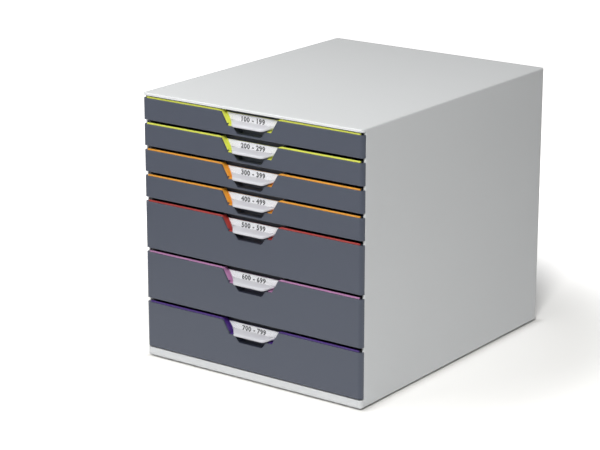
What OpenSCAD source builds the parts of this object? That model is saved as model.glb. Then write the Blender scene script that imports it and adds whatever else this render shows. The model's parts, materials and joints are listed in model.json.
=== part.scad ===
// Desktop drawer box in moulded plastic: a light grey casing, four low and three tall
// drawers with dark fronts, coloured trims and label windows that end in a pull lip.
// Millimetres. Z is up, the fronts face -Y, and the origin is under the middle of the box.

/* [Casing] */
// Width over the side walls
body_w = 280; // [250:1:330]
// Depth from the faces of the drawer fronts to the back
body_d = 352; // [300:1:420]
// Thickness of the side walls, the back and the sill
wall_t = 2.4; // [1.8:0.1:3.2]
// Thickness of the top plate
top_t = 3; // [2:0.1:5]
// Radius of the upright edges at the back
rear_r = 7; // [4:0.5:12]
// Radius of the upright edges at the front of the top plate, the fronts and the sill
front_r = 4.5; // [3:0.5:6]
// Radius along the upper edges of the casing
top_edge_r = 1.5; // [0.8:0.1:2.4]
// Radius along the lower edges of the casing
low_edge_r = 2.5; // [1:0.1:4]
// Radius of the side walls' front edges, behind the fronts
side_edge_r = 1.2; // [0.6:0.1:1.6]
// Height of the sill under the lowest drawer
sill_h = 9; // [8:0.1:14]
// Depth of the shelf along the top of the sill
sill_d = 6.5; // [4:0.5:14]
// Thickness of the base panel
base_t = 2.5; // [1.8:0.1:3]
// Height of the base panel above the lower edge of the casing
base_lift = 1.5; // [1:0.1:2.5]

/* [Feet] */
// Height of the casing above the table
foot_h = 2; // [1.5:0.1:5]
// Diameter of a rubber foot
foot_d = 18; // [12:0.5:26]
// Distance of a foot's middle from the outside of the casing
foot_inset = 24; // [20:1:40]
// Chamfer round the lower edge of a foot
foot_chamfer = 0.6; // [0.3:0.1:1]
// Width and height of the ring on the base panel that locates a foot
foot_ring = 1.2; // [0.8:0.1:1.4]

/* [Drawers] */
// Number of low drawers, above the tall ones
low_count = 4; // [1:1:6]
// Number of tall drawers
tall_count = 3; // [1:1:4]
// Height that a low drawer takes in the stack
low_pitch = 28; // [27.5:0.5:40]
// Height that a tall drawer takes in the stack
tall_pitch = 56; // [42:0.5:80]
// Open height between one front and the next
seam = 4.9; // [4:0.1:6]
// Open height between the top plate and the uppermost front
head_seam = 2.9; // [2.6:0.1:4]
// Open height between the sill and the lowest front
sill_seam = 1.4; // [1:0.1:2.5]

/* [Fronts] */
// Thickness of a front
front_t = 1.6; // [1.2:0.1:2]
// Depth of the returns at the ends of a front
front_wrap = 4.8; // [4.5:0.1:6.5]
// Radius along the upper and lower edge of a front
front_edge_r = 0.5; // [0.2:0.1:0.8]
// Width of the notch at the top of a front
notch_top_w = 72.4; // [60:0.2:90]
// Width of the notch at its bottom
notch_low_w = 56.2; // [50:0.2:60]
// Depth of the notch
notch_depth = 14.1; // [12:0.1:15]
// Radius where the notch meets the top of the front
notch_r = 4.5; // [2:0.5:6]
// Width of the finger recess where it leaves the notch
recess_top_w = 40.6; // [36:0.5:44]
// Width of the finger recess at its bottom
recess_low_w = 30; // [26:0.2:35]
// Height of the bar that a low front keeps under the finger recess
recess_bar = 2; // [1.6:0.1:4]
// How far the finger recess reaches behind the face of the front
recess_reach = 9.2; // [6:0.1:14]
// Radius of the lower corners of the finger recess
recess_r = 2.5; // [1:0.1:3]
// Thickness of the walls round the finger recess
cup_t = 1.2; // [1:0.1:1.4]
// Thickness of the rim and the ribs behind a front
rib_t = 1.6; // [1:0.1:2]
// Distance from the notch to the first rib, and from one rib to the next
rib_step = 40; // [25:1:60]

/* [Trim] */
// Thickness of the coloured trim
trim_t = 1.8; // [1.2:0.1:1.9]
// How far the trim stands above the top of the front
trim_rise = 1.5; // [0.8:0.1:2]
// Height of the trim behind the front
trim_h = 6; // [4:0.5:8]
// How far the trim shows inside the edge of the notch
trim_show = 0.4; // [0.2:0.05:1]
// Thickness of the trim's walls round the notch
liner_t = 1; // [0.8:0.1:1.5]
// Thickness of the trim's plate behind the label
carrier_t = 1.4; // [1:0.1:1.8]

/* [Label and pull] */
// How far the pull lip stands in front of the fronts
lip_out = 4; // [2:0.1:8]
// Thickness of the clear window
window_t = 1; // [0.7:0.1:1.4]
// Thickness of the paper label
label_t = 0.3; // [0.2:0.05:0.5]
// Height of the label's upper edge below the top of the front
label_drop = 1.7; // [1.5:0.1:4]
// Space between the pull lip's lower edge and the floor of the notch
lip_gap = 0.75; // [0.6:0.05:2]
// Depth of the label behind the face of the front
label_back = 6.8; // [5:0.1:9]
// Radius of the bend between the label and the pull lip
bend_r = 2.4; // [2:0.1:3]
// Angle of that bend
bend_turn = 75; // [60:1:80]
// Width of the pull lip
lip_w = 37; // [30:0.5:38]
// Height of the rim along the front of the pull lip
rim_h = 2.9; // [2:0.1:3.2]
// Thickness of that rim
rim_t = 1.4; // [1.2:0.1:2]
// Thickness of the pull lip's sides
cheek_t = 1; // [0.8:0.1:1.5]
// How far the label's lower corners lie above the pull lip's lower edge
flap_rise = 1.5; // [1:0.1:2.5]

/* [Trays] */
// Thickness of a tray's walls
tray_t = 1.8; // [1.4:0.1:2.4]
// Thickness of a tray's floor
floor_t = 1.6; // [1.2:0.1:2.4]
// Height of a tray's rim above the top of its front
rim_rise = 0.7; // [0.2:0.1:1]
// Radius of a tray's rear corners
tray_r = 4; // [2.5:0.5:8]
// Space between a tray and the back wall
rear_space = 5; // [3:0.5:12]
// Length of a stop lug on a tray
lug_l = 6; // [4:0.5:10]
// Width of a stop lug
lug_w = 4; // [3:0.5:6]

/* [Guides] */
// Thickness of a guide panel
guide_t = 1.8; // [1.4:0.1:3]
// Width of a runner
runner_w = 8; // [6:0.5:12]
// Thickness of a runner
runner_t = 2; // [1.5:0.1:2.2]
// Height of a runner's upper face above its place in the stack
runner_rise = 1; // [0.8:0.1:1.4]
// Length of the tapered nose at the front of a runner
runner_nose = 8; // [4:0.5:14]
// How far a drawer pulls out
drawer_travel = 260; // [150:5:300]
// Length of a stop
stop_l = 6; // [4:0.5:10]
// Width of a stop
stop_w = 6; // [4:0.5:8]

/* [Clearances] */
// Space between a front's returns and the side walls
wrap_gap = 0.3; // [0.2:0.05:0.5]
// Space between a tray and a guide panel
side_gap = 0.6; // [0.3:0.1:1]
// Space between a tray's floor and its runners
run_gap = 0.3; // [0.2:0.05:0.5]
// Space between a tray's rim and the stops above it
stop_gap = 0.4; // [0.3:0.05:0.6]
// Space between a tray's lugs and what lies above them
lug_gap = 0.4; // [0.3:0.05:0.6]
// Space between a tray's lugs and the stops when the drawer is fully out
end_gap = 0.3; // [0.2:0.05:0.6]
// Space between the sill's shelf and the guides
guide_gap = 0.5; // [0.3:0.1:2]
// Space between a tray's bay and the walls of the finger recess and the trim in it
bay_gap = 1.6; // [1.2:0.1:4]
// Space between the label's window and the trim at its sides
window_gap = 0.4; // [0.2:0.05:0.8]
// Space between the sides of the pull lip and what lies between them
cheek_gap = 0.3; // [0.2:0.05:0.6]
// Space between pieces that are clipped or laid together
fit_gap = 0.1; // [0.05:0.05:0.2]

/* [Hidden] */
drawer_count = low_count + tall_count;
PIECES = ["tray", "front", "trim", "window", "label"];

casing_grey = "#cdd0cf";
base_grey = "#b7bab9";
guide_grey = "#a9acab";
rubber_grey = "#3a3a3c";
front_grey = "#575b68";
tray_grey = "#4a4d57";
paper_white = "#f4f4f6";
window_tint = [0.93, 0.95, 0.97, 0.45];
trim_colours = ["#d9dc5a", "#d9dc5a", "#e2963a", "#e2963a", "#b4413c", "#b57fac", "#54308a"];

// Drawers are counted from the top, and their places in the stack from the sill up.
function pitch(k) = k <= low_count ? low_pitch : tall_pitch;
function place_bottom(k) = k == drawer_count ? sill_h : place_bottom(k + 1) + pitch(k + 1);
function front_top(k) = place_bottom(k) + pitch(k) - seam;
function front_bottom(k) = place_bottom(k) + (k == drawer_count ? sill_seam : 0);

under_top = front_top(1) + head_seam;
body_h = under_top + top_t;
body_x = body_w / 2;
side_front = front_wrap + wrap_gap;
inner_x = body_x - wall_t;
inner_r = rear_r - wall_t;

// The guides and what runs between them
guide_x = inner_x - guide_t;
guide_top = under_top - fit_gap;
guide_low = base_lift + base_t + fit_gap;
guide_front = max(side_front, sill_d) + guide_gap;
guide_end = body_d - wall_t - inner_r;
tray_x = guide_x - side_gap;
tray_front = front_t + trim_t + 2 * fit_gap;
tray_back = body_d - wall_t - rear_space;

// The lugs run under the next runners, and under the top plate on the uppermost tray.
lug_h = min(seam + runner_rise - runner_t, head_seam) - rim_rise - lug_gap;
stop_end = tray_back - lug_l - drawer_travel - end_gap;

// The notch and the finger recess, and the tray's bay behind them
recess_depth = low_pitch - seam - recess_bar;
recess_slope = (recess_top_w - recess_low_w) / 2 / (recess_depth - notch_depth);
carrier_back = label_t + fit_gap + carrier_t;
liner_end = label_back + carrier_back + fit_gap;
bay_reach = max(liner_end, recess_reach + cup_t) + bay_gap;

// The label lies flat below its upper edge. Between the sides of the pull lip it bends
// forward and runs along a shelf to the lip's rim.
paper_margin = trim_show + window_gap;
lip_low = -notch_depth + lip_gap;
rim_back = rim_t - lip_out;
shelf_l = (label_back - bend_r + bend_r * cos(bend_turn) - rim_back) / sin(bend_turn);
shelf_low = lip_low + rim_h - (window_t + fit_gap) * sin(bend_turn);
bend_z = shelf_low + bend_r * sin(bend_turn) + shelf_l * cos(bend_turn);
tongue_x = lip_w / 2 - cheek_t - cheek_gap;
bend_steps = 8;

// The box round everything is centred on the origin.
face_y = -(body_d + lip_out) / 2 + lip_out;

// How far a cut runs past the faces that it opens, and how far ribs root in their wall
past = 1;
root = 0.5;

module at_face() translate([0, face_y, foot_h]) children();

module both_sides() {
    children();
    mirror([1, 0, 0]) children();
}

// ---- Outlines ----

// Points of the arc that rounds the corner at p, between the neighbours a and b
function corner(a, p, b, r, steps = 5) =
    let (
        u = (a - p) / norm(a - p),
        w = (b - p) / norm(b - p),
        half = acos(u * w) / 2,
        start = p + u * r / tan(half),
        end = p + w * r / tan(half),
        middle = p + (u + w) / norm(u + w) * r / sin(half),
        first = atan2(start[1] - middle[1], start[0] - middle[0]),
        last = atan2(end[1] - middle[1], end[0] - middle[0]),
        swing = last - first,
        turn = swing > 180 ? swing - 360 : swing < -180 ? swing + 360 : swing)
    [for (i = [0:steps]) middle + r * [cos(first + turn * i / steps), sin(first + turn * i / steps)]];

function mirrored(points) = [for (i = [len(points) - 1:-1:0]) [-points[i][0], points[i][1]]];

// Plan of a box from y0 to y1. Its front and its rear corners have a radius, or none.
module plan(half_w, y0, y1, r_front, r_rear) {
    difference() {
        translate([-half_w, y0]) square([2 * half_w, y1 - y0]);
        both_sides() {
            translate([half_w - r_front, y0 - past]) square([r_front + past, r_front + past]);
            translate([half_w - r_rear, y1 - r_rear]) square([r_rear + past, r_rear + past]);
        }
    }
    both_sides() {
        if (r_front > 0) translate([half_w - r_front, y0 + r_front]) circle(r_front, $fn = 64);
        if (r_rear > 0) translate([half_w - r_rear, y1 - r_rear]) circle(r_rear, $fn = 64);
    }
}

// A shape drawn as [x, z] and given a depth along Y
module along_y(y0, y1) translate([0, y1, 0]) rotate([90, 0, 0]) linear_extrude(y1 - y0) children();

// A shape drawn as [y, z] and given a length along X
module along_x(x0, x1) translate([x0, 0, 0]) rotate([90, 0, 90]) linear_extrude(x1 - x0) children();

// Upright outline of the casing, rounded at its upper and lower edges
module upright_outline(x0, x1) {
    translate([x0, low_edge_r]) square([x1 - x0, body_h - low_edge_r - top_edge_r]);
    translate([x0 + top_edge_r, body_h - 2 * top_edge_r])
        square([x1 - x0 - 2 * top_edge_r, 2 * top_edge_r]);
    translate([x0 + low_edge_r, 0]) square([x1 - x0 - 2 * low_edge_r, 2 * low_edge_r]);
    for (x = [x0 + top_edge_r, x1 - top_edge_r])
        translate([x, body_h - top_edge_r]) circle(top_edge_r, $fn = 48);
    for (x = [x0 + low_edge_r, x1 - low_edge_r])
        translate([x, low_edge_r]) circle(low_edge_r, $fn = 48);
}

// ---- Casing ----

module casing_solid() {
    intersection() {
        union() {
            linear_extrude(sill_h) plan(body_x, 0, body_d, front_r, rear_r);
            translate([0, 0, sill_h])
                linear_extrude(under_top - sill_h) plan(body_x, side_front, body_d, side_edge_r, rear_r);
            translate([0, 0, under_top]) linear_extrude(top_t) plan(body_x, 0, body_d, front_r, rear_r);
        }
        along_y(-past, body_d + past) upright_outline(-body_x, body_x);
        along_x(-body_x - past, body_x + past) upright_outline(0, body_d);
    }
}

module casing() color(casing_grey) at_face() {
    difference() {
        casing_solid();
        translate([0, 0, -past])
            linear_extrude(under_top + past) plan(inner_x, wall_t, body_d - wall_t, inner_r, inner_r);
        translate([-inner_x, -past, sill_h])
            cube([2 * inner_x, past + wall_t + inner_r, under_top - sill_h]);
    }
    translate([-inner_x, wall_t, sill_h - wall_t]) cube([2 * inner_x, sill_d - wall_t, wall_t]);
}

function foot_places() = [
    for (x = [-1, 1]) for (y = [foot_inset, body_d - foot_inset]) [x * (body_x - foot_inset), y]];

module base_panel() color(base_grey) at_face() {
    translate([0, 0, base_lift])
        linear_extrude(base_t)
            plan(inner_x - fit_gap, wall_t + fit_gap, body_d - wall_t - fit_gap, inner_r, inner_r);
    for (p = foot_places()) translate([p[0], p[1], base_lift - foot_ring]) difference() {
        cylinder(h = foot_ring + root, d = foot_d + 2 * (foot_ring + fit_gap), $fn = 64);
        translate([0, 0, -past]) cylinder(h = foot_ring + past, d = foot_d + 2 * fit_gap, $fn = 64);
    }
}

module feet() color(rubber_grey) at_face() {
    foot_r = foot_d / 2;
    for (p = foot_places()) translate([p[0], p[1], -foot_h])
        rotate_extrude($fn = 64)
            polygon([
                [0, 0], [foot_r - foot_chamfer, 0], [foot_r, foot_chamfer],
                [foot_r, foot_h + base_lift], [0, foot_h + base_lift]]);
}

// ---- Guides ----

// One runner as a plan: a shelf that narrows to a nose at the front
module runner() {
    nose_w = runner_w / 2;
    linear_extrude(runner_t)
        polygon([
            [guide_x + guide_t / 2, guide_front], [guide_x - nose_w, guide_front],
            [guide_x - runner_w, guide_front + runner_nose], [guide_x - runner_w, guide_end],
            [guide_x + guide_t / 2, guide_end]]);
}

module guide() {
    translate([guide_x, guide_front, guide_low])
        cube([guide_t, guide_end - guide_front, guide_top - guide_low]);
    for (k = [1:drawer_count]) {
        stop_z = front_top(k) + rim_rise + stop_gap;
        stop_top = k == 1 ? guide_top : place_bottom(k) + pitch(k) + runner_rise - runner_t / 2;
        translate([0, 0, place_bottom(k) + runner_rise - runner_t]) runner();
        translate([guide_x - stop_w, stop_end - stop_l, stop_z])
            cube([stop_w + guide_t / 2, stop_l, stop_top - stop_z]);
    }
}

module guide_left() color(guide_grey) at_face() mirror([1, 0, 0]) guide();

module guide_right() color(guide_grey) at_face() guide();

// ---- Drawer fronts ----

// Half the width of the notch at a depth below the top of the front
function notch_x(depth) = (notch_top_w - (notch_top_w - notch_low_w) * depth / notch_depth) / 2;

// Half the width that the trim takes up round the notch
liner_x = notch_x(-trim_rise) + liner_t;

// Right half of the notch's outline, from the open top down to its floor. It is drawn in
// by a margin, and its upper corner sits at the given rise above the top of the front.
function notch_side(margin, rise) =
    let (
        low = -notch_depth + margin,
        side = norm([notch_depth, notch_x(0) - notch_x(notch_depth)]) / notch_depth * margin,
        far = [notch_top_w, rise],
        upper = [notch_x(-rise) - side, rise],
        lower = [notch_x(-low) - side, low],
        inner = [0, low])
    concat(
        [far],
        corner(far, upper, lower, notch_r),
        corner(upper, lower, inner, recess_r / 2, 3));

// The whole notch, open above
module notch_area(margin = 0, rise = 0) {
    right = notch_side(margin, rise);
    above = [[-notch_top_w, rise + notch_depth], [notch_top_w, rise + notch_depth]];
    polygon(concat(above, right, mirrored(right)));
}

// Half the width of the finger recess at a height, drawn out by a margin
function recess_x(z, margin) =
    recess_low_w / 2 + recess_slope * (z + recess_depth) + margin * norm([1, recess_slope]);

// The finger recess below the notch, drawn out by a margin and running up to a height
module recess_area(margin = 0, up = -notch_depth + past) {
    low = -recess_depth - margin;
    lower = [recess_x(low, margin), low];
    upper = [recess_x(up, margin), up];
    right = concat([upper], corner(upper, lower, [0, low], recess_r + margin));
    polygon(concat(right, mirrored(right)));
}

// Side view of a front: its upper and lower front edges are rounded
module front_profile(h) {
    translate([front_edge_r, 0]) square([front_wrap - front_edge_r, h]);
    translate([0, front_edge_r]) square([front_wrap, h - 2 * front_edge_r]);
    for (z = [front_edge_r, h - front_edge_r])
        translate([front_edge_r, z]) circle(front_edge_r, $fn = 32);
}

// Walls round the finger recess, behind the front
module recess_cup() {
    difference() {
        along_y(front_t / 2, recess_reach + cup_t) recess_area(cup_t, -notch_depth);
        along_y(-past, recess_reach) recess_area(0, past);
    }
}

module drawer_front(k) color(front_grey) at_face() {
    low = front_bottom(k);
    h = front_top(k) - low;
    rib_h = h - trim_h - fit_gap - front_edge_r;
    inner_end = body_x - front_t;
    difference() {
        intersection() {
            translate([0, 0, low])
                linear_extrude(h) plan(body_x, 0, front_wrap, front_r, 0);
            along_x(-body_x, body_x) translate([0, low]) front_profile(h);
        }
        translate([0, 0, low - past])
            linear_extrude(h + 2 * past) plan(inner_end, front_t, 2 * front_wrap, front_r - front_t, 0);
        translate([0, 0, front_top(k)]) along_y(-past, front_wrap) notch_area();
        translate([0, 0, front_top(k)]) along_y(-past, front_wrap) recess_area();
    }
    translate([0, 0, front_top(k)]) recess_cup();
    // Rim along the lower edge, and ribs that seat the front on the tray
    difference() {
        union() {
            translate([-tray_x, front_t / 2, low + front_edge_r])
                cube([2 * tray_x, tray_front - front_t / 2, rib_t]);
            both_sides() for (x = [recess_top_w / 2 + rib_step / 2:rib_step:tray_x - rib_t])
                translate([x, front_t / 2, low + front_edge_r])
                    cube([rib_t, tray_front - front_t / 2, rib_h]);
        }
        translate([0, 0, front_top(k)]) along_y(-past, front_wrap) recess_area();
    }
}

// ---- Coloured trims ----

// Side view of the trim's strip, rounded along its top
module strip_profile() {
    r = trim_t / 4;
    translate([0, -trim_h]) square([trim_t, trim_h + trim_rise - r]);
    translate([r, 0]) square([trim_t - 2 * r, trim_rise]);
    for (y = [r, trim_t - r]) translate([y, trim_rise - r]) circle(r, $fn = 32);
}

module trim_strip() {
    strip_x = body_x - front_r - fit_gap;
    difference() {
        along_x(-strip_x, strip_x) translate([front_t + fit_gap, 0]) strip_profile();
        along_y(0, 2 * trim_t + front_t) notch_area(trim_show, trim_rise);
    }
}

// Wall that lines the notch and carries the plate behind the label
module trim_liner() {
    gap_x = recess_x(-notch_depth, cup_t + fit_gap);
    along_y(front_t + fit_gap, liner_end) difference() {
        notch_area(trim_show - liner_t, trim_rise);
        notch_area(trim_show, trim_rise);
        translate([-gap_x, -2 * notch_depth]) square([2 * gap_x, 2 * notch_depth]);
        translate([-body_x, trim_rise - liner_t / 2]) square([body_w, 2 * notch_depth]);
        both_sides() translate([liner_x, -notch_depth]) square([body_x, 2 * notch_depth]);
    }
}

module drawer_trim(k) color(trim_colours[(k - 1) % len(trim_colours)]) at_face() {
    translate([0, 0, front_top(k)]) {
        trim_strip();
        trim_liner();
        sheet_wall(label_t + fit_gap, carrier_back, trim_show - fit_gap, fit_gap - notch_depth);
    }
}

// ---- Labels, windows and pull lips ----

// Side view of a line along the label's surface, at a distance behind it. It runs down the
// flat part, round the bend and along the shelf, and stops short of the lip's rim.
function sheet_line(distance, short) =
    let (
        centre = [label_back - bend_r, bend_z],
        behind = bend_r + distance,
        along = (shelf_l - short) * [-sin(bend_turn), -cos(bend_turn)],
        round = [for (i = [0:bend_steps]) let (a = bend_turn * i / bend_steps) [cos(a), -sin(a)]])
    concat(
        [[label_back + distance, -label_drop]],
        [for (u = round) centre + behind * u],
        [centre + behind * round[bend_steps] + along]);

// Side view of a wall between two distances behind the label's surface
module sheet_profile(near, far, short) {
    back = sheet_line(far, short);
    polygon(concat(sheet_line(near, short), [for (i = [len(back) - 1:-1:0]) back[i]]));
}

// Flat part between two distances: it ends at the bend, and its flaps beside the lip go lower
module sheet_flat(near, far, margin, low, slit_x) {
    along_y(label_back + near, label_back + far) difference() {
        notch_area(margin);
        translate([-notch_top_w, -label_drop]) square([2 * notch_top_w, 2 * notch_depth]);
        translate([-notch_top_w, low - notch_depth]) square([2 * notch_top_w, notch_depth]);
        translate([-slit_x, bend_z - notch_depth]) square([2 * slit_x, notch_depth]);
    }
}

// Flat part and tongue of the paper, or of the plate behind it
module sheet_wall(near, far, margin, low) {
    sheet_flat(near, far, margin, low, tongue_x + cheek_gap);
    along_x(-tongue_x, tongue_x) sheet_profile(near, far, fit_gap);
}

// Side view of the pull lip's sides, between the flat part, the shelf and the rim
module cheek_profile() {
    line = sheet_line(-window_t - fit_gap, 0);
    foot = [label_back - fit_gap, lip_low + flap_rise - fit_gap];
    under = [[rim_back, lip_low], [rim_back + rim_t, lip_low], foot, [foot[0], -label_drop]];
    polygon(concat(line, under));
}

// Side view of the lip's rim, rounded in front
module rim_profile() {
    r = rim_t / 3;
    translate([-lip_out + r, lip_low]) square([rim_t - r, rim_h]);
    translate([-lip_out, lip_low + r]) square([rim_t, rim_h - 2 * r]);
    for (z = [r, rim_h - r]) translate([-lip_out + r, lip_low + z]) circle(r, $fn = 32);
}

module drawer_window(k) color(window_tint) at_face() {
    near = -window_t - fit_gap;
    lip_x = lip_w / 2;
    translate([0, 0, front_top(k)]) {
        sheet_flat(near, -fit_gap, paper_margin, lip_low + flap_rise - fit_gap, lip_x - cheek_t);
        along_x(-lip_x, lip_x) sheet_profile(near, -fit_gap, -rim_t / 2);
        both_sides() along_x(lip_x - cheek_t, lip_x) cheek_profile();
        along_x(-lip_x, lip_x) rim_profile();
    }
}

module drawer_label(k) color(paper_white) at_face() {
    translate([0, 0, front_top(k)]) sheet_wall(0, label_t, paper_margin, lip_low + flap_rise);
}

// ---- Trays ----

// Plan of a tray drawn in by a margin, with the bay in its front wall
module tray_plan(margin) {
    bay_x = liner_x + bay_gap / 2 + margin;
    difference() {
        plan(tray_x - margin, tray_front + margin, tray_back - margin, 0, tray_r - margin);
        translate([-bay_x, 0]) square([2 * bay_x, bay_reach + margin]);
    }
}

module drawer_tray(k) color(tray_grey) at_face() {
    low = place_bottom(k) + runner_rise + run_gap;
    rim = front_top(k) + rim_rise;
    translate([0, 0, low]) difference() {
        linear_extrude(rim - low) tray_plan(0);
        translate([0, 0, floor_t]) linear_extrude(rim - low) tray_plan(tray_t);
    }
    // Stop lugs at the rear corners, inside the tray's rounded outline
    translate([0, 0, rim - lug_h]) linear_extrude(2 * lug_h) intersection() {
        tray_plan(0);
        both_sides() translate([tray_x - lug_w, tray_back - lug_l]) square([lug_w, lug_l]);
    }
}

// ---- Assembly ----

casing();
base_panel();
guide_left();
guide_right();
feet();
for (k = [1:drawer_count]) {
    drawer_tray(k);
    drawer_front(k);
    drawer_trim(k);
    drawer_window(k);
    drawer_label(k);
}
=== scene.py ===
"""A desktop drawer box in light grey and anthracite plastic, with coloured trims and labels."""

import json
import math

import bmesh
import bpy
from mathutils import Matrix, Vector

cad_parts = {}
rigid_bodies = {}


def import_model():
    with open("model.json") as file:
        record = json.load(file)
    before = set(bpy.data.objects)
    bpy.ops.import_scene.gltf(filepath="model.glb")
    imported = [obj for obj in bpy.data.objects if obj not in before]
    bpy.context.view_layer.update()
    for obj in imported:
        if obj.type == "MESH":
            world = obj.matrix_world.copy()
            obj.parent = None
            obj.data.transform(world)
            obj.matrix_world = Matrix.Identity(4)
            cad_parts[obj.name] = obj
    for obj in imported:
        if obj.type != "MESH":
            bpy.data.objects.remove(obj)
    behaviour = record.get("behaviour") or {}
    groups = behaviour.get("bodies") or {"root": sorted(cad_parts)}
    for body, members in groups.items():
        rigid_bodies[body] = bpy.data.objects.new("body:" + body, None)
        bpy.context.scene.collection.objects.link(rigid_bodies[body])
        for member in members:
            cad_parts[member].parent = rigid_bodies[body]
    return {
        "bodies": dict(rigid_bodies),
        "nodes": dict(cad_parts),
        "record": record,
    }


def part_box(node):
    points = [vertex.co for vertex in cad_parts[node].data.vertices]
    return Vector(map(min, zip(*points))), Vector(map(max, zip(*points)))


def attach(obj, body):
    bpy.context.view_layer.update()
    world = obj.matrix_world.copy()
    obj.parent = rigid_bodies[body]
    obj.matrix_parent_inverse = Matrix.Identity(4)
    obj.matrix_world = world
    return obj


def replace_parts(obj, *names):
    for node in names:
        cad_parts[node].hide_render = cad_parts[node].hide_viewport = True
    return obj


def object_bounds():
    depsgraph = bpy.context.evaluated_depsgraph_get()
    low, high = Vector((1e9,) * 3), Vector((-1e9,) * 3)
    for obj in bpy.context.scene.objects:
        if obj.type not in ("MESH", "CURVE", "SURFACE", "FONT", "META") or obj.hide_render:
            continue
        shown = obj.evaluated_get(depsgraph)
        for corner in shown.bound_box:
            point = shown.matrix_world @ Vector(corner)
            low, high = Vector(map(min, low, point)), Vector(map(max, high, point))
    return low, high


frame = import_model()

cad_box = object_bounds()

DRAWERS = sorted(body for body in frame["bodies"] if body.startswith("drawer_"))

# ---- Sizes, in metres ----

# The fronts' face, and the notch in it: half its width at the top, and how much that loses per depth
FACE_Y = -0.174
NOTCH_HALF = 0.0362
NOTCH_SLOPE = 0.5745

# The label's surface in side view, as (depth behind the face, depth below the front's top),
# the radii of its bend and of the lip's upper edge, and the steps of each stretch
LABEL_TOP = Vector((0.0068, 0.0017))
LABEL_BEND = Vector((0.0068, 0.0090))
LIP_TOP = Vector((-0.0029, 0.0116))
LIP_FOOT = Vector((-0.0029, 0.01335))
BEND_R = 0.0024
LIP_R = 0.0012
FLAT_STEPS = 4
BEND_STEPS = 7
SHELF_STEPS = 3
BROW_STEPS = 5

# Half the width of the label's top and of the pull lip. The flanks between them end higher than
# the lip does, and turn softly
LABEL_HALF = 0.0321
LIP_HALF = 0.0185
FLANK_RISE = 0.0028
FLANK_SOFT = 0.0012
LABEL_COLUMNS = 48

# The layers of a label, and how far below the front's top the cover turns from clear to the pull lip,
# whose grey is painted shade on the label's lower part
PAPER_T = 0.00025
COVER_GAP = 0.0001
COVER_T = 0.0009
PAINTED_SHADE_STARTS = 0.0086

# The front's own edge along the notch, turned back behind the face: its wall, where it starts and
# ends behind the face, where it starts and ends below the front's top, and its overlap above
RETURN_T = 0.0005
RETURN_Y = (0.0004, 0.0038)
RETURN_DROP = (0.0002, 0.0140)
RETURN_LAP = 0.0028

# Rounded edges, as a share of the wall, and the turn from which an edge is sharp
EDGE_SHARE = 0.25
EDGE_STEPS = 2
SHARP = math.radians(60)

# The printed figures: height, that height as a share of the letter size, depth below the front's
# top, the strips that let them follow the paper, added weight, lift off the paper and spacing
CAP_HEIGHT = 0.0050
CAP_SHARE = 0.729
TEXT_DROP = 0.0033
TEXT_STEP = 0.0007
TEXT_BOLD = 0.00033
TEXT_CURVE_STEPS = 4
TEXT_SPACING = 1.15
INK_LIFT = 0.00005

# ---- Colours and surfaces ----

CASING = (0.630, 0.642, 0.645)
BASE = (0.500, 0.510, 0.505)
GUIDE = (0.420, 0.430, 0.430)
FRONT = (0.054, 0.063, 0.088)
TRAY = (0.068, 0.073, 0.090)
RUBBER = (0.022, 0.022, 0.024)
INK = (0.012, 0.012, 0.014)
# The pull lip's grey is painted shade: it darkens the label's lower part, under the drawer above
LIP_PAINTED_SHADE = (0.53, 0.53, 0.56)
PAPER = (0.86, 0.86, 0.88)
PAPER_ROUGHNESS = 0.85
FIBRE_TONE = 0.97
FIBRE_SCALE = 1800.0
FIBRE_RELIEF = 0.15
FIBRE_DEPTH = 0.00005
CLEAR = (0.90, 0.91, 0.94)
CLEAR_ALPHA = 0.08
CLEAR_ROUGHNESS = (0.08, 0.2)
SMEAR_SCALE = 120.0
# Red and violet are set darker, partly to match their linings' own tone and partly as painted shade on
# the thin strips under the drawer above
TRIMS = {
    "trim_yellow": (0.720, 0.760, 0.100),
    "trim_orange": (0.790, 0.340, 0.035),
    "trim_red": (0.390, 0.040, 0.034),
    "trim_pink": (0.460, 0.210, 0.400),
    "trim_violet": (0.060, 0.018, 0.185),
}

# Each moulded material: colour, roughness, grain size in metres, unevenness of its colour, relief
# of the grain, how much lighter its worn edges are, and its specular level
MOULDED = {
    "casing_plastic": (CASING, 0.56, 0.0007, 0.02, 0.25, 0.03, 0.5),
    "base_plastic": (BASE, 0.5, 0.0008, 0.03, 0.2, 0.08, 0.5),
    "guide_plastic": (GUIDE, 0.42, 0.0008, 0.03, 0.15, 0.15, 0.5),
    "front_plastic": (FRONT, 0.45, 0.0006, 0.05, 0.3, 0.35, 0.42),
    "tray_plastic": (TRAY, 0.45, 0.0008, 0.06, 0.2, 0.35, 0.5),
    "foot_rubber": (RUBBER, 0.8, 0.0005, 0.2, 0.5, 0.5, 0.3),
    # The pull lip, grey as painted shade
    "lip_plastic": (LIP_PAINTED_SHADE, 0.4, 0.0006, 0.02, 0.1, 0.05, 0.5),
    "label_ink": (INK, 0.6, 0.0004, 0.1, 0.1, 0.0, 0.5),
}
for trim, trim_colour in TRIMS.items():
    MOULDED[trim] = (trim_colour, 0.38, 0.0006, 0.03, 0.1, 0.08, 0.5)

# Worn edges: how wide, from which turn of the surface on (as cosines), and the patches of noise
# that break them up, as scale and levels. Wear also polishes
WEAR_WIDTH = 0.0008
WEAR_SAMPLES = 6
WEAR_TURN = (1.0, 0.8)
WEAR_PATCHES = 60.0
WEAR_LEVELS = (0.4, 0.62)
WEAR_POLISH = 0.15

# The skin: scale of the slow clouds, strength of the grain's specks, what both do to roughness, and
# how many times the grain is wider than it is deep
CLOUD_SCALE = 9.0
SPECKLE = 0.05
ROUGHNESS_SWING = 1.5
GRAIN_PER_DEPTH = 3

# ---- Camera, light and floor ----

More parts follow.
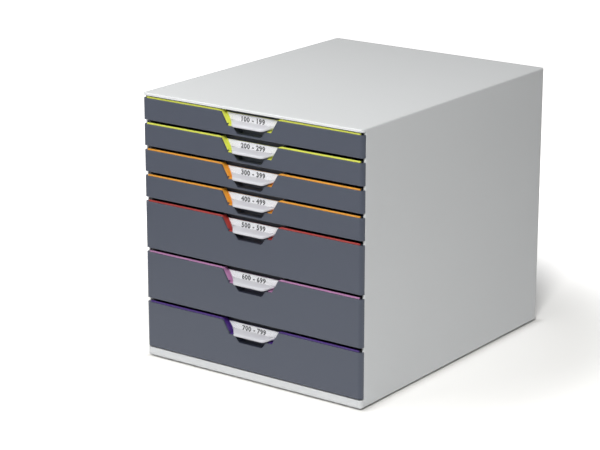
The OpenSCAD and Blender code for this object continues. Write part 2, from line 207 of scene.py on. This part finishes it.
# The camera solved from the photograph, whose focal length is in pixels
PHOTO_W = 600
PHOTO_FOCAL = 2132
SENSOR_MM = 36.0
CAMERA_AT = Vector((1.2756, -1.8274, 0.7908))
CAMERA_YAW = math.radians(36.233)
CAMERA_PITCH = math.radians(16.518)
CAMERA_END = 50.0

# Area lamps: place, target, width and height, power in watts
LAMPS = {
    "key": ((0.75, -1.31, 1.40), (0, 0, 0.15), (0.35, 0.35), 22.5),
    "left_top": ((-0.45, -0.45, 1.05), (-0.05, -0.10, 0.29), (0.5, 0.5), 4.4),
    "front_left": ((-0.7, -1.5, 0.9), (0, 0, 0.15), (0.6, 0.6), 5.5),
    "low_right": ((0.62, 0.05, 0.03), (0.14, 0.05, 0.06), (0.6, 0.06), 0.25),
}
SKY = 0.15

# The floor: how much light it throws back, its colour for the camera, and the glow that the
# camera and mirrors see beside the box. Each glow fades between two distances from the middle,
# and the camera's starts over a short way beside the box, so that the gap under it stays dark
FLOOR_HALF = 12.0
FLOOR_BOUNCE = 0.8
FLOOR_SEEN = (0.95, 0.94, 0.91)
FLOOR_GLOW = 0.28
FLOOR_FADE = (0.24, 0.47)
FLOOR_SHEEN = 1.0
SHEEN_FADE = (0.35, 0.8)
GAP_FADE = 0.01


# ---- Short ways to build node trees ----

def node(tree, kind, values=(), **settings):
    """A node with its settings, and with plain values on its inputs."""
    made = tree.nodes.new(kind)
    for key, value in settings.items():
        setattr(made, key, value)
    for key, value in dict(values).items():
        made.inputs[key].default_value = value
    return made


def maths(tree, operation, *values):
    """A maths node over its values in order: sockets are linked and plain numbers are set."""
    made = node(tree, "ShaderNodeMath", operation=operation)
    for place, value in enumerate(values):
        if isinstance(value, bpy.types.NodeSocket):
            tree.links.new(value, made.inputs[place])
        else:
            made.inputs[place].default_value = value
    return made.outputs[0]


def spread(tree, value, ends, results=(0.0, 1.0), kind="LINEAR"):
    """Brings a value from between two ends to between two results."""
    made = node(tree, "ShaderNodeMapRange",
                {"From Min": ends[0], "From Max": ends[1], "To Min": results[0], "To Max": results[1]},
                interpolation_type=kind)
    tree.links.new(value, made.inputs["Value"])
    return made.outputs["Result"]


def noise(tree, scale, detail, roughness=0.5):
    """Noise that is fixed to the object."""
    place = node(tree, "ShaderNodeTexCoord")
    made = node(tree, "ShaderNodeTexNoise",
                {"Scale": scale, "Detail": detail, "Roughness": roughness})
    tree.links.new(place.outputs["Object"], made.inputs["Vector"])
    return made


def relief(tree, height, strength, distance, shader):
    """Bump on the shader's surface."""
    bump = node(tree, "ShaderNodeBump", {"Strength": strength, "Distance": distance})
    tree.links.new(height, bump.inputs["Height"])
    tree.links.new(bump.outputs["Normal"], shader.inputs["Normal"])


# ---- Shader groups that several materials share ----

def group(name, inputs, outputs):
    """An empty group with its sockets, and its two ends."""
    tree = bpy.data.node_groups.new(name, "ShaderNodeTree")
    for socket, kind, value in inputs:
        made = tree.interface.new_socket(socket, in_out="INPUT", socket_type=kind)
        made.default_value = value
    for socket, kind in outputs:
        tree.interface.new_socket(socket, in_out="OUTPUT", socket_type=kind)
    return tree, tree.nodes.new("NodeGroupInput"), tree.nodes.new("NodeGroupOutput")


def edge_wear():
    """A mask of the edges that hands and shelves rub, broken up by noise."""
    tree, source, result = group(
        "edge_wear", [("Width", "NodeSocketFloat", WEAR_WIDTH)], [("Mask", "NodeSocketFloat")])
    link = tree.links.new
    rounded_off = node(tree, "ShaderNodeBevel", samples=WEAR_SAMPLES)
    link(source.outputs["Width"], rounded_off.inputs["Radius"])
    surface = node(tree, "ShaderNodeNewGeometry")
    along = node(tree, "ShaderNodeVectorMath", operation="DOT_PRODUCT")
    link(rounded_off.outputs["Normal"], along.inputs[0])
    link(surface.outputs["Normal"], along.inputs[1])
    edge = spread(tree, along.outputs["Value"], WEAR_TURN)
    patches = noise(tree, WEAR_PATCHES, 4.0, 0.65)
    worn = spread(tree, patches.outputs["Fac"], WEAR_LEVELS)
    link(maths(tree, "MULTIPLY", edge, worn), result.inputs["Mask"])
    return tree


def moulded_skin():
    """Fine spark-eroded grain and slow unevenness, as on the outside of a moulded shell."""
    tree, source, result = group(
        "moulded_skin",
        [("Colour", "NodeSocketColor", (1, 1, 1, 1)), ("Grain size", "NodeSocketFloat", 0.0006),
         ("Unevenness", "NodeSocketFloat", 0.03), ("Roughness", "NodeSocketFloat", 0.45),
         ("Wear", "NodeSocketFloat", 0.1)],
        [("Colour", "NodeSocketColor"), ("Roughness", "NodeSocketFloat"),
         ("Height", "NodeSocketFloat")])
    link = tree.links.new
    grain = noise(tree, 1.0, 2.0, 0.6)
    link(maths(tree, "DIVIDE", 1.0, source.outputs["Grain size"]), grain.inputs["Scale"])
    clouds = noise(tree, CLOUD_SCALE, 3.0)
    swing = maths(tree, "SUBTRACT", clouds.outputs["Fac"], 0.5)
    slow = maths(tree, "MULTIPLY", swing, source.outputs["Unevenness"])
    speck = maths(tree, "SUBTRACT", grain.outputs["Fac"], 0.5)
    total = maths(tree, "ADD", slow, maths(tree, "MULTIPLY", speck, SPECKLE))
    wear = node(tree, "ShaderNodeGroup", node_tree=EDGE_WEAR)
    rubbed = maths(tree, "MULTIPLY", wear.outputs["Mask"], source.outputs["Wear"])
    lighter = maths(tree, "ADD", total, rubbed)
    tint = node(tree, "ShaderNodeVectorMath", operation="SCALE")
    link(source.outputs["Colour"], tint.inputs[0])
    link(maths(tree, "ADD", lighter, 1.0), tint.inputs["Scale"])
    link(tint.outputs[0], result.inputs["Colour"])
    rough = maths(tree, "MULTIPLY_ADD", total, ROUGHNESS_SWING, source.outputs["Roughness"])
    link(maths(tree, "MULTIPLY_ADD", wear.outputs["Mask"], -WEAR_POLISH, rough),
         result.inputs["Roughness"])
    link(grain.outputs["Fac"], result.inputs["Height"])
    return tree


EDGE_WEAR = edge_wear()
SKIN = moulded_skin()


# ---- Materials ----

def start_material(name):
    material = bpy.data.materials.new(name)
    material.use_nodes = True
    return material, material.node_tree, material.node_tree.nodes["Principled BSDF"]


def moulded(name, colour, roughness, grain, unevenness, grain_relief, wear, specular):
    material, tree, shader = start_material(name)
    shader.inputs["Specular IOR Level"].default_value = specular
    skin = node(tree, "ShaderNodeGroup", node_tree=SKIN)
    skin.inputs["Colour"].default_value = (*colour, 1)
    skin.inputs["Grain size"].default_value = grain
    skin.inputs["Unevenness"].default_value = unevenness
    skin.inputs["Roughness"].default_value = roughness
    skin.inputs["Wear"].default_value = wear
    tree.links.new(skin.outputs["Colour"], shader.inputs["Base Color"])
    tree.links.new(skin.outputs["Roughness"], shader.inputs["Roughness"])
    relief(tree, skin.outputs["Height"], grain_relief, grain / GRAIN_PER_DEPTH, shader)
    return material


def clear_plastic(name):
    """Clear plastic with uneven gloss, as fingers leave it."""
    material, tree, shader = start_material(name)
    shader.inputs["Base Color"].default_value = (*CLEAR, 1)
    shader.inputs["Alpha"].default_value = CLEAR_ALPHA
    smear = noise(tree, SMEAR_SCALE, 2.0)
    rough = spread(tree, smear.outputs["Fac"], (0.0, 1.0), CLEAR_ROUGHNESS)
    tree.links.new(rough, shader.inputs["Roughness"])
    return material


def printing_paper(name):
    material, tree, shader = start_material(name)
    shader.inputs["Roughness"].default_value = PAPER_ROUGHNESS
    fibre = noise(tree, FIBRE_SCALE, 4.0, 0.7)
    tone = node(tree, "ShaderNodeMix", data_type="RGBA")
    tone.inputs["A"].default_value = (*[part * FIBRE_TONE for part in PAPER], 1)
    tone.inputs["B"].default_value = (*PAPER, 1)
    tree.links.new(fibre.outputs["Fac"], tone.inputs["Factor"])
    tree.links.new(tone.outputs["Result"], shader.inputs["Base Color"])
    relief(tree, fibre.outputs["Fac"], FIBRE_RELIEF, FIBRE_DEPTH, shader)
    return material


MATERIALS = {name: moulded(name, *values) for name, values in MOULDED.items()}
MATERIALS["window_clear"] = clear_plastic("window_clear")
MATERIALS["label_paper"] = printing_paper("label_paper")


def paint_nodes():
    slots = {row["node"]: row["material_slot"] for row in frame["record"]["subparts"]}
    for name, obj in frame["nodes"].items():
        obj.data.materials.clear()
        obj.data.materials.append(MATERIALS[slots[name]])


# ---- Labels, clear covers and pull lips ----

def rounded(a, corner, b, radius, count):
    """Points of the arc that rounds a corner between the points a and b."""
    u = (a - corner).normalized()
    w = (b - corner).normalized()
    half = u.angle(w) / 2
    middle = corner + (u + w).normalized() * radius / math.sin(half)
    start = corner + u * radius / math.tan(half) - middle
    end = corner + w * radius / math.tan(half) - middle
    return [middle + start.lerp(end, i / count).normalized() * radius for i in range(count + 1)]


def label_profile():
    """Side view of the label's surface: flat, round the bend, along a shelf and down the lip."""
    bend = rounded(LABEL_TOP, LABEL_BEND, LIP_TOP, BEND_R, BEND_STEPS)
    brow = rounded(LABEL_BEND, LIP_TOP, LIP_FOOT, LIP_R, BROW_STEPS)
    flat = [LABEL_TOP.lerp(bend[0], i / FLAT_STEPS) for i in range(FLAT_STEPS)]
    shelf = [bend[-1].lerp(brow[0], i / SHELF_STEPS) for i in range(1, SHELF_STEPS)]
    return flat + bend + shelf + brow + [LIP_FOOT.copy()]


PROFILE = label_profile()


def profile_depth(drop):
    """Depth of the label's middle behind the face, at a depth below the front's top."""
    for upper, lower in zip(PROFILE, PROFILE[1:]):
        if drop <= lower.y:
            return upper.x + (lower.x - upper.x) * (drop - upper.y) / (lower.y - upper.y)
    return PROFILE[-1].x


def flank_share(x, half):
    """0 over the pull lip and 1 at the label's sides, with soft turns between them."""
    shares = []
    for step in (-1, -0.5, 0, 0.5, 1):
        along = (abs(x) + step * FLANK_SOFT - LIP_HALF) / (half - LIP_HALF)
        shares.append(min(max(along, 0.0), 1.0))
    return sum(shares) / len(shares)


def scoop(rows, top):
    """A sheet with the form of the label: flat above, drawn out below into the pull lip.
    Half of its columns cover the lip, and half its flanks."""
    mesh = bmesh.new()
    bmesh.ops.create_grid(mesh, x_segments=LABEL_COLUMNS, y_segments=len(rows) - 1, size=1.0)
    for v in mesh.verts:
        row = rows[round((1 - v.co.y) / 2 * (len(rows) - 1))]
        half = LABEL_HALF - NOTCH_SLOPE * (row.y - LABEL_TOP.y)
        u = abs(v.co.x)
        x = u * 2 * LIP_HALF if u < 0.5 else LIP_HALF + (u - 0.5) * 2 * (half - LIP_HALF)
        share = flank_share(x, half)
        below = max(0.0, (row.y - LABEL_BEND.y) / (LIP_FOOT.y - LABEL_BEND.y))
        depth = row.x + (LABEL_TOP.x - row.x) * share
        drop = row.y - FLANK_RISE * share * below
        v.co = (math.copysign(x, v.co.x), FACE_Y + depth, top - drop)
    bmesh.ops.recalc_face_normals(mesh, faces=mesh.faces)
    if sum(face.normal.y for face in mesh.faces) > 0:
        bmesh.ops.reverse_faces(mesh, faces=mesh.faces)
    mesh.normal_update()
    return mesh


def soften(mesh, edges, wall):
    """Rounds edges by a share of the wall."""
    bmesh.ops.bevel(mesh, geom=edges, offset=wall * EDGE_SHARE, segments=EDGE_STEPS, profile=0.5,
                    affect="EDGES", material=-1)


def thicken(mesh, gap, wall):
    """Gives a sheet its wall, which starts at a gap in front of it, and rounds its outer edges."""
    for v, place in [(v, v.co + v.normal * (gap + wall)) for v in mesh.verts]:
        v.co = place
    bmesh.ops.solidify(mesh, geom=mesh.faces[:], thickness=wall)
    soften(mesh, [edge for edge in mesh.edges if edge.calc_face_angle(0) > SHARP], wall)


def finish_piece(mesh, name, body, materials, smooth):
    """Makes the piece an object that rides on its body."""
    data = bpy.data.meshes.new(name)
    for face in mesh.faces:
        face.smooth = smooth
    mesh.to_mesh(data)
    mesh.free()
    for material in materials:
        data.materials.append(MATERIALS[material])
    piece = bpy.data.objects.new(name, data)
    bpy.context.scene.collection.objects.link(piece)
    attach(piece, body)
    return piece


def paper_label(body, top):
    """The white paper, from the label's upper edge to the inside of the pull lip."""
    mesh = scoop([row for row in PROFILE if row.y < LIP_TOP.y], top)
    thicken(mesh, -PAPER_T, PAPER_T)
    paper = finish_piece(mesh, body + "_paper", body, ["label_paper"], True)
    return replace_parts(paper, body + "_label")


def label_cover(body, top):
    """The clear cover over the label, whose lower part is the pull lip, grey as painted shade on the
    label's lower part.
    """
    mesh = scoop(PROFILE, top)
    thicken(mesh, COVER_GAP, COVER_T)
    # Faces below this depth take the pull lip's grey, which is painted shade
    for face in mesh.faces:
        if top - face.calc_center_median().z > PAINTED_SHADE_STARTS:
            face.material_index = 1
    cover = finish_piece(mesh, body + "_cover", body,
                         ["window_clear", "lip_plastic"], True)
    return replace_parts(cover, body + "_window")


def notch_return(body, top, side, name):
    """The front's own edge along a side of the notch, turned back behind the face."""
    start, end = RETURN_DROP
    mesh = bmesh.new()
    corners = []
    for drop, inset in ((start, -RETURN_LAP), (start, RETURN_T / 2), (end, RETURN_T), (end, 0.0)):
        x = NOTCH_HALF - NOTCH_SLOPE * drop - inset
        corners.append(mesh.verts.new((side * x, FACE_Y + RETURN_Y[0], top - drop)))
    face = mesh.faces.new(corners)
    made = bmesh.ops.extrude_face_region(mesh, geom=[face], use_keep_orig=True)
    moved = [v for v in made["geom"] if isinstance(v, bmesh.types.BMVert)]
    bmesh.ops.translate(mesh, verts=moved, vec=(0, RETURN_Y[1] - RETURN_Y[0], 0))
    bmesh.ops.recalc_face_normals(mesh, faces=mesh.faces)
    soften(mesh, mesh.edges[:], RETURN_T)
    return finish_piece(mesh, body + name, body, ["front_plastic"], False)


def label_number(body, top, figures):
    """Printed figures that lie on the paper. They are cut into strips to follow its bend."""
    curve = bpy.data.curves.new(body + "_figures", "FONT")
    curve.body = figures
    curve.align_x = "CENTER"
    curve.size = CAP_HEIGHT / CAP_SHARE
    curve.offset = TEXT_BOLD
    curve.space_character = TEXT_SPACING
    curve.resolution_u = TEXT_CURVE_STEPS
    text = bpy.data.objects.new(body + "_figures_outline", curve)
    bpy.context.scene.collection.objects.link(text)
    bpy.context.view_layer.update()
    mesh = bmesh.new()
    mesh.from_mesh(bpy.data.meshes.new_from_object(text))
    bpy.data.objects.remove(text)
    heights = [v.co.y for v in mesh.verts]
    low, high = min(heights), max(heights)
    cuts = int((high - low) / TEXT_STEP)
    for i in range(1, cuts + 1):
        everything = list(mesh.verts) + list(mesh.edges) + list(mesh.faces)
        bmesh.ops.bisect_plane(mesh, geom=everything, plane_no=(0, 1, 0),
                               plane_co=(0, low + (high - low) * i / (cuts + 1), 0))
    for v in mesh.verts:
        drop = TEXT_DROP + CAP_HEIGHT - v.co.y
        v.co = (v.co.x, FACE_Y + profile_depth(drop) - INK_LIFT, top - drop)
    bmesh.ops.triangulate(mesh, faces=mesh.faces)
    return finish_piece(mesh, body + "_figures", body, ["label_ink"], False)


# ---- Floor, light and camera ----

def studio_floor():
    """Pale floor that keeps the shadow: it turns white away from the box, and mirrors see it lit."""
    mesh = bmesh.new()
    bmesh.ops.create_grid(mesh, x_segments=1, y_segments=1, size=FLOOR_HALF)
    data = bpy.data.meshes.new("floor")
    mesh.to_mesh(data)
    mesh.free()
    floor = bpy.data.objects.new("floor", data)
    bpy.context.scene.collection.objects.link(floor)
    material, tree, _ = start_material("floor")
    tree.nodes.clear()
    link = tree.links.new
    output = node(tree, "ShaderNodeOutputMaterial")
    matt = node(tree, "ShaderNodeBsdfDiffuse", {"Color": (*[FLOOR_BOUNCE] * 3, 1)})
    pale = node(tree, "ShaderNodeBsdfDiffuse", {"Color": (*FLOOR_SEEN, 1)})
    place = node(tree, "ShaderNodeTexCoord").outputs["Object"]
    reach = node(tree, "ShaderNodeVectorMath", operation="LENGTH")
    link(place, reach.inputs[0])
    distance = reach.outputs["Value"]
    seen_glow = spread(tree, distance, FLOOR_FADE, (FLOOR_GLOW, 1.0), "SMOOTHSTEP")
    sheen_glow = spread(tree, distance, SHEEN_FADE, (FLOOR_SHEEN, 0.0), "SMOOTHSTEP")
    sides = node(tree, "ShaderNodeVectorMath", operation="ABSOLUTE")
    link(place, sides.inputs[0])
    beyond = node(tree, "ShaderNodeVectorMath", {1: (cad_box[1].x, -FACE_Y, 0)},
                  operation="SUBTRACT")
    link(sides.outputs[0], beyond.inputs[0])
    parts = node(tree, "ShaderNodeSeparateXYZ")
    link(beyond.outputs[0], parts.inputs[0])
    nearest = maths(tree, "MAXIMUM", parts.outputs["X"], parts.outputs["Y"])
    beside = spread(tree, nearest, (0.0, GAP_FADE))
    seen_glow = maths(tree, "MULTIPLY", seen_glow, beside)
    rays = node(tree, "ShaderNodeLightPath")
    last = matt
    for strength, ray in ((sheen_glow, "Is Glossy Ray"), (seen_glow, "Is Camera Ray")):
        glow = node(tree, "ShaderNodeEmission")
        link(strength, glow.inputs["Strength"])
        lit = node(tree, "ShaderNodeAddShader")
        link(pale.outputs[0], lit.inputs[0])
        link(glow.outputs[0], lit.inputs[1])
        pick = node(tree, "ShaderNodeMixShader")
        link(rays.outputs[ray], pick.inputs[0])
        link(last.outputs[0], pick.inputs[1])
        link(lit.outputs[0], pick.inputs[2])
        last = pick
    link(last.outputs[0], output.inputs["Surface"])
    data.materials.append(material)


def studio_world():
    """A soft sky, which the camera, mirrors and clear pieces see as white."""
    world = bpy.data.worlds.new("studio")
    bpy.context.scene.world = world
    world.use_nodes = True
    tree = world.node_tree
    tree.nodes.clear()
    link = tree.links.new
    output = node(tree, "ShaderNodeOutputWorld")
    soft = node(tree, "ShaderNodeBackground", {"Color": (1, 1, 1, 1), "Strength": SKY})
    white = node(tree, "ShaderNodeBackground", {"Color": (1, 1, 1, 1), "Strength": 1.0})
    rays = node(tree, "ShaderNodeLightPath")
    direct = maths(tree, "MAXIMUM", rays.outputs["Is Camera Ray"], rays.outputs["Is Glossy Ray"])
    through = maths(tree, "MAXIMUM", direct, rays.outputs["Is Transmission Ray"])
    pick = node(tree, "ShaderNodeMixShader")
    link(through, pick.inputs[0])
    link(soft.outputs[0], pick.inputs[1])
    link(white.outputs[0], pick.inputs[2])
    link(pick.outputs[0], output.inputs["Surface"])


def lamp(name, place, target, size, power):
    """An area lamp that faces the target."""
    light = bpy.data.lights.new(name, "AREA")
    light.shape = "RECTANGLE"
    light.size, light.size_y = size
    light.energy = power
    obj = bpy.data.objects.new(name, light)
    obj.location = place
    obj.rotation_euler = (Vector(target) - Vector(place)).to_track_quat("-Z", "Y").to_euler()
    bpy.context.scene.collection.objects.link(obj)


def camera():
    data = bpy.data.cameras.new("camera")
    data.sensor_width = SENSOR_MM
    data.lens = PHOTO_FOCAL * SENSOR_MM / PHOTO_W
    data.clip_end = CAMERA_END
    obj = bpy.data.objects.new("camera", data)
    obj.location = CAMERA_AT
    obj.rotation_euler = (math.pi / 2 - CAMERA_PITCH, 0, CAMERA_YAW)
    bpy.context.scene.collection.objects.link(obj)
    bpy.context.scene.camera = obj


camera()
paint_nodes()
for number, drawer in enumerate(DRAWERS, start=1):
    front_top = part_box(drawer + "_front")[1].z
    paper_label(drawer, front_top)
    label_number(drawer, front_top, f"{number}00 - {number}99")
    label_cover(drawer, front_top)
    notch_return(drawer, front_top, -1, "_edge_left")
    notch_return(drawer, front_top, 1, "_edge_right")
studio_floor()
studio_world()
for lamp_name, setting in LAMPS.items():
    lamp(lamp_name, *setting)
bpy.context.scene.view_settings.view_transform = "Standard"
